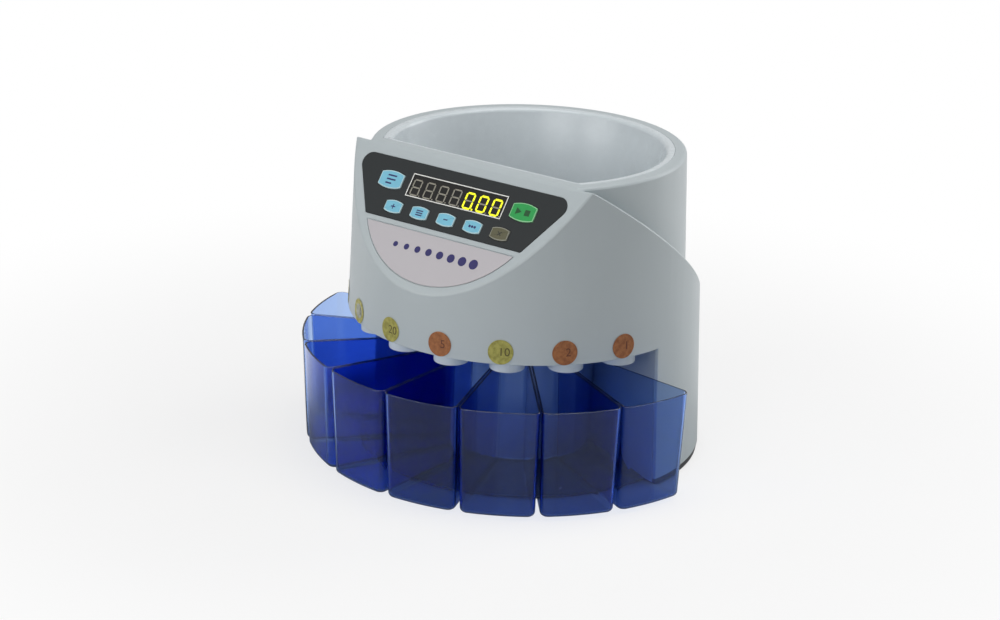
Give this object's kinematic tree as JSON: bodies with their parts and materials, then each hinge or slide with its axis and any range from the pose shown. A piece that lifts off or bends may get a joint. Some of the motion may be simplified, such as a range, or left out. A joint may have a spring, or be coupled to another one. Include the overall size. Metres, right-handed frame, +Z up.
{
  "type": "coin counting machine",
  "caption": "Counter-top coin sorter: round hopper over a sloping keypad and display, coin nozzles under the skirt and clear blue bins fanned round the front.",
  "frame": {"origin": "on the table under the middle of the object's plan, which is a little behind the middle of the drum's front half", "axes": "+Z up along the drum's axis, -Y towards the user, where the console and the bins face, +X to the user's right"},
  "size_m": [0.37, 0.3398, 0.26],
  "materials": {
    "housing_grey": "light bluish grey, satin",
    "hopper_grey": "pale grey, glossy",
    "base_dark": "dark grey",
    "liner_grey": "light grey",
    "foot_rubber": "black",
    "sweeper_rubber": "brown rubber",
    "steel": "bright",
    "motor_steel": "grey",
    "plate_aluminium": "satin",
    "white_plastic": "white",
    "pinion_brass": "machined",
    "board_green": "circuit board",
    "pad_black": "black film",
    "label_grey": "pale pinkish grey film",
    "window_dark": "smoked",
    "black_plastic": "black",
    "port_steel": "plated",
    "key_blue": "light blue",
    "key_green": "green",
    "key_olive": "olive",
    "badge_print": "printed film",
    "bin_blue": "clear blue"
  },
  "bodies": {
    "machine": {"base_plate": "base_dark", "rubber_feet": "foot_rubber", "base_screws": "steel", "housing": "housing_grey", "bay_liner": "liner_grey", "hopper": "hopper_grey", "sorting_plate": "plate_aluminium", "coin_rail": "white_plastic", "chute_ring": "white_plastic", "sensor_board": "board_green", "lower_bearing": "steel", "upper_bearing": "steel", "motor_deck": "steel", "deck_screws": "steel", "gear_motor": "motor_steel", "keypad_plate": "pad_black", "label_plate": "label_grey", "display_window": "window_dark", "display_module": "black_plastic", "keypad_board": "board_green", "key_switches": "black_plastic", "board_screws": "steel", "main_board": "board_green", "power_supply": "black_plastic", "rear_panel": "black_plastic", "mains_inlet": "black_plastic", "printer_port": "port_steel", "coin_badges": "badge_print", "coin_nozzle_1": "white_plastic", "coin_nozzle_2": "white_plastic", "coin_nozzle_3": "white_plastic", "coin_nozzle_4": "white_plastic", "coin_nozzle_5": "white_plastic", "coin_nozzle_6": "white_plastic", "coin_nozzle_7": "white_plastic", "coin_nozzle_8": "white_plastic"},
    "bin_body_1": {"bin_1": "bin_blue"},
    "bin_body_2": {"bin_2": "bin_blue"},
    "bin_body_3": {"bin_3": "bin_blue"},
    "bin_body_4": {"bin_4": "bin_blue"},
    "bin_body_5": {"bin_5": "bin_blue"},
    "bin_body_6": {"bin_6": "bin_blue"},
    "bin_body_7": {"bin_7": "bin_blue"},
    "bin_body_8": {"bin_8": "bin_blue"},
    "key_report_body": {"key_report": "key_blue"},
    "key_start_body": {"key_start": "key_green"},
    "key_plus_body": {"key_plus": "key_blue"},
    "key_batch_body": {"key_batch": "key_blue"},
    "key_minus_body": {"key_minus": "key_blue"},
    "key_set_body": {"key_set": "key_blue"},
    "key_clear_body": {"key_clear": "key_olive"},
    "disc": {"coin_disc": "plate_aluminium", "disc_sweeper": "sweeper_rubber", "disc_nut": "steel", "spindle": "steel", "disc_gear": "white_plastic"},
    "motor_drive": {"motor_shaft": "steel", "motor_pinion": "pinion_brass"},
    "rocker": {"power_switch": "black_plastic"}
  },
  "joints": [
    {"name": "bin_slide_1", "type": "slide", "parent": "machine", "child": "bin_body_1", "axis": [0.9544, -0.2986, 0], "range_m": [0, 0.1]},
    {"name": "bin_slide_2", "type": "slide", "parent": "machine", "child": "bin_body_2", "axis": [0.7867, -0.6174, 0], "range_m": [0, 0.1]},
    {"name": "bin_slide_3", "type": "slide", "parent": "machine", "child": "bin_body_3", "axis": [0.5169, -0.856, 0], "range_m": [0, 0.1]},
    {"name": "bin_slide_4", "type": "slide", "parent": "machine", "child": "bin_body_4", "axis": [0.1801, -0.9837, 0], "range_m": [0, 0.1]},
    {"name": "bin_slide_5", "type": "slide", "parent": "machine", "child": "bin_body_5", "axis": [-0.1801, -0.9837, 0], "range_m": [0, 0.1]},
    {"name": "bin_slide_6", "type": "slide", "parent": "machine", "child": "bin_body_6", "axis": [-0.5169, -0.856, 0], "range_m": [0, 0.1]},
    {"name": "bin_slide_7", "type": "slide", "parent": "machine", "child": "bin_body_7", "axis": [-0.7867, -0.6174, 0], "range_m": [0, 0.1]},
    {"name": "bin_slide_8", "type": "slide", "parent": "machine", "child": "bin_body_8", "axis": [-0.9544, -0.2986, 0], "range_m": [0, 0.1]},
    {"name": "key_report_press", "type": "slide", "parent": "machine", "child": "key_report_body", "axis": [0, 0.8018, -0.5976], "range_m": [0, 0.0008], "stiffness_N_per_m": 400, "springref_m": -0.0005},
    {"name": "key_start_press", "type": "slide", "parent": "machine", "child": "key_start_body", "axis": [0, 0.8018, -0.5976], "range_m": [0, 0.0008], "stiffness_N_per_m": 400, "springref_m": -0.0005},
    {"name": "key_plus_press", "type": "slide", "parent": "machine", "child": "key_plus_body", "axis": [0, 0.8018, -0.5976], "range_m": [0, 0.0008], "stiffness_N_per_m": 400, "springref_m": -0.0005},
    {"name": "key_batch_press", "type": "slide", "parent": "machine", "child": "key_batch_body", "axis": [0, 0.8018, -0.5976], "range_m": [0, 0.0008], "stiffness_N_per_m": 400, "springref_m": -0.0005},
    {"name": "key_minus_press", "type": "slide", "parent": "machine", "child": "key_minus_body", "axis": [0, 0.8018, -0.5976], "range_m": [0, 0.0008], "stiffness_N_per_m": 400, "springref_m": -0.0005},
    {"name": "key_set_press", "type": "slide", "parent": "machine", "child": "key_set_body", "axis": [0, 0.8018, -0.5976], "range_m": [0, 0.0008], "stiffness_N_per_m": 400, "springref_m": -0.0005},
    {"name": "key_clear_press", "type": "slide", "parent": "machine", "child": "key_clear_body", "axis": [0, 0.8018, -0.5976], "range_m": [0, 0.0008], "stiffness_N_per_m": 400, "springref_m": -0.0005},
    {"name": "disc_spin", "type": "hinge", "parent": "machine", "child": "disc", "pos_m": [0, 0.01745, 0.14], "axis": [0, 0, 1], "continuous": true},
    {"name": "pinion_spin", "type": "hinge", "parent": "machine", "child": "motor_drive", "pos_m": [0, 0.04745, 0.13], "axis": [0, 0, 1], "continuous": true},
    {"name": "power_rocker", "type": "hinge", "parent": "machine", "child": "rocker", "pos_m": [0.006, 0.15145, 0.049], "axis": [1, 0, 0], "range_deg": [0, 16]}
  ],
  "couplings": [
    {"joint": "pinion_spin", "follows": "disc_spin", "ratio": -3}
  ]
}
